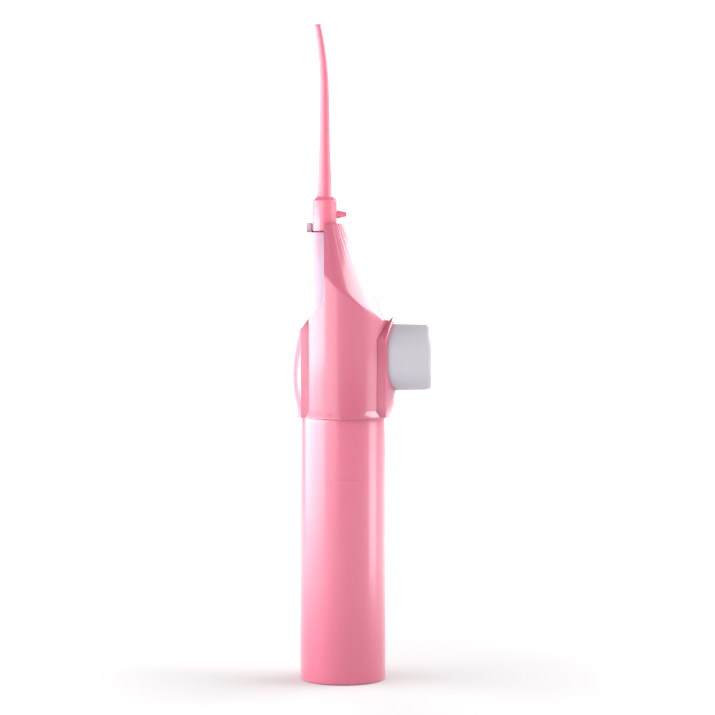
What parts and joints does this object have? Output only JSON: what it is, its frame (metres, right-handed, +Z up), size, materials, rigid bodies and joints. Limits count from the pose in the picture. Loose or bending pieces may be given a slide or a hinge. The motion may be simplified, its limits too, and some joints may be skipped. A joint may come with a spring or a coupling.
{
  "type": "water flosser",
  "caption": "Hand-pumped water flosser with a screw-on round tank, a side pump button, a tapered two-cover housing and a slender nozzle with a bent tip.",
  "frame": {"origin": "centre of the tank's flat base", "axes": "+Z up along the tank's axis, +X towards the pump button, -Y towards the front cover"},
  "size_m": [0.0565, 0.0386, 0.2649],
  "materials": {
    "pink_housing": "glossy moulded pink plastic",
    "pink_tank": "glossy moulded pink plastic with a faint depth",
    "pink_nozzle": "satin to glossy moulded pink plastic",
    "white_button": "satin white plastic",
    "pale_neck": "satin pale plastic with a lavender cast",
    "natural_plastic": "unpigmented moulded plastic",
    "silicone": "translucent soft tube",
    "black_rubber": "matt rubber",
    "steel": "bright stainless steel"
  },
  "bodies": {
    "housing": {"chassis": "pink_housing", "neck_tube": "pale_neck", "front_cover": "pink_housing", "rear_cover": "pink_housing", "pump_barrel": "natural_plastic", "barrel_cap": "natural_plastic", "return_spring": "steel", "inlet_valve_body": "natural_plastic", "outlet_valve_body": "natural_plastic", "outlet_hose": "silicone", "hose_spigot": "natural_plastic", "dip_tube": "silicone", "intake_strainer": "natural_plastic"},
    "gasket": {"tank_gasket": "silicone"},
    "tank": {"tank": "pink_tank"},
    "plunger": {"button": "white_button", "piston_rod": "natural_plastic", "piston": "natural_plastic", "piston_seal": "black_rubber"},
    "inlet_ball": {"inlet_ball": "steel"},
    "outlet_ball": {"outlet_ball": "steel"},
    "swivel": {"swivel_sleeve": "natural_plastic", "sleeve_seal": "black_rubber"},
    "nozzle": {"nozzle": "pink_nozzle", "nozzle_seal": "black_rubber"}
  },
  "joints": [
    {"name": "tank_drop", "type": "slide", "parent": "housing", "child": "gasket", "axis": [0, 0, -1], "range_m": [0, 0.0031]},
    {"name": "tank_unscrew", "type": "hinge", "parent": "gasket", "child": "tank", "pos_m": [0, 0, 0], "axis": [0, 0, -1], "range_deg": [0, 180]},
    {"name": "button_press", "type": "slide", "parent": "housing", "child": "plunger", "axis": [-1, 0, 0], "range_m": [0, 0.011], "stiffness_N_per_m": 700, "springref_m": -0.003, "deforming": ["return_spring"]},
    {"name": "inlet_valve", "type": "slide", "parent": "housing", "child": "inlet_ball", "axis": [0, 0, 1], "range_m": [0, 0.0008]},
    {"name": "outlet_valve", "type": "slide", "parent": "housing", "child": "outlet_ball", "axis": [0, 0, 1], "range_m": [0, 0.0006]},
    {"name": "nozzle_swivel", "type": "hinge", "parent": "housing", "child": "swivel", "pos_m": [-0.0073, 0, 0.181], "axis": [0, 0, 1], "continuous": true},
    {"name": "nozzle_pull", "type": "slide", "parent": "swivel", "child": "nozzle", "axis": [0, 0, 1], "range_m": [0, 0.0125]}
  ],
  "couplings": [
    {"joint": "tank_drop", "follows": "tank_unscrew", "m_per_rad": 0.00095493}
  ]
}
